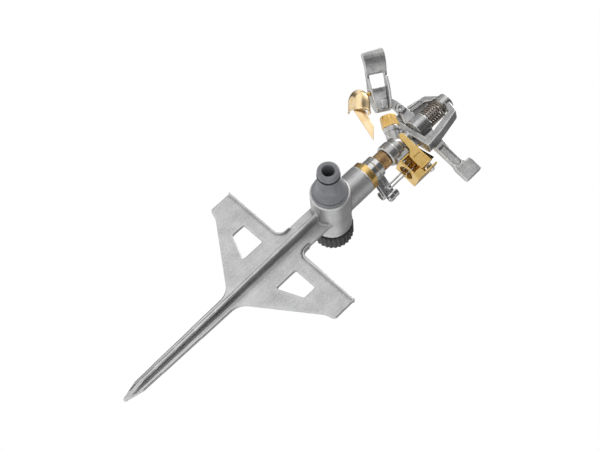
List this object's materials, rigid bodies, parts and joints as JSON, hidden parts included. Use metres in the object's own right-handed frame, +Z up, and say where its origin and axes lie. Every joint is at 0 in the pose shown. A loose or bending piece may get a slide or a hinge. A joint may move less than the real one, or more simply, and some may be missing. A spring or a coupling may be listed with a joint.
{
  "type": "impact sprinkler",
  "caption": "Metal impact sprinkler on a winged ground spike, with a hose plug inlet, a screwed end cap, a sprung drive arm and a reversing trip.",
  "frame": {"origin": "tip of the ground spike", "axes": "+Z up along the spike, the riser and the head's swivel axis; the wings spread along X; the hose plug points along -Y and the end cap along +Y"},
  "size_m": [0.1322, 0.0929, 0.3416],
  "materials": {
    "zinc_casting": "satin tumbled zinc die casting with a fine grain",
    "turned_brass": "turned and polished",
    "sheet_brass": "polished pressed sheet",
    "bronze": "dark turned bronze",
    "plated_steel": "bright nickel plate",
    "spring_steel": "drawn wire",
    "dark_spring_steel": "dark drawn wire with bright highlights",
    "grey_plastic": "moulded, satin",
    "black_plastic": "moulded, ribbed, satin",
    "white_plastic": "moulded bearing plastic",
    "seal_rubber": "smooth rubber"
  },
  "bodies": {
    "base": {"spike_body": "zinc_casting", "hose_plug": "grey_plastic", "plug_oring": "seal_rubber", "plug_seal": "seal_rubber", "hex_bush": "turned_brass"},
    "cap_washer": {"cap_seal": "seal_rubber"},
    "cap": {"end_cap": "black_plastic"},
    "head": {"bearing_nipple": "bronze", "thrust_washer": "white_plastic", "bearing_seal": "seal_rubber", "bearing_spring": "spring_steel", "head_body": "zinc_casting", "nozzle_tip": "turned_brass", "fulcrum_pin": "plated_steel", "arm_spring": "dark_spring_steel", "spring_seat": "plated_steel", "trip_bracket": "sheet_brass", "bracket_screw": "plated_steel", "trip_pin": "plated_steel", "trip_pin_clip": "plated_steel", "trip_spring": "spring_steel"},
    "arm": {"drive_arm": "zinc_casting", "arm_bush_lower": "white_plastic", "arm_bush_upper": "white_plastic", "splash_vane": "sheet_brass", "vane_rivet": "sheet_brass"},
    "trip": {"trip_lever": "sheet_brass", "trip_finger": "plated_steel"},
    "collar_lower": {"trip_collar_lower": "plated_steel"},
    "collar_upper": {"trip_collar_upper": "plated_steel"}
  },
  "joints": [
    {"name": "head_swivel", "type": "hinge", "parent": "base", "child": "head", "pos_m": [0, 0, 0.262], "axis": [0, 0, 1], "range_deg": [-220, 0]},
    {"name": "drive_arm_swing", "type": "hinge", "parent": "head", "child": "arm", "pos_m": [0, 0, 0.3095], "axis": [0, 0, 1], "range_deg": [0, 95], "stiffness_Nm_per_rad": 0.03, "springref_deg": -20.05},
    {"name": "trip_lever_turn", "type": "hinge", "parent": "head", "child": "trip", "pos_m": [0.01931, 0.00518, 0.2915], "axis": [-0.9659, -0.2588, 0], "range_deg": [0, 22]},
    {"name": "collar_lower_turn", "type": "hinge", "parent": "base", "child": "collar_lower", "pos_m": [0, 0, 0.2542], "axis": [0, 0, 1], "range_deg": [0, 70]},
    {"name": "collar_upper_turn", "type": "hinge", "parent": "base", "child": "collar_upper", "pos_m": [0, 0, 0.2592], "axis": [0, 0, 1], "range_deg": [0, 70]},
    {"name": "cap_unscrew_travel", "type": "slide", "parent": "base", "child": "cap_washer", "axis": [0, 1, 0], "range_m": [0, 0.0115]},
    {"name": "cap_unscrew_turn", "type": "hinge", "parent": "cap_washer", "child": "cap", "pos_m": [0, 0.034, 0.211], "axis": [0, 1, 0], "range_deg": [0, 2282]}
  ],
  "couplings": [
    {"joint": "cap_unscrew_travel", "follows": "cap_unscrew_turn", "m_per_rad": 0.00028871}
  ]
}
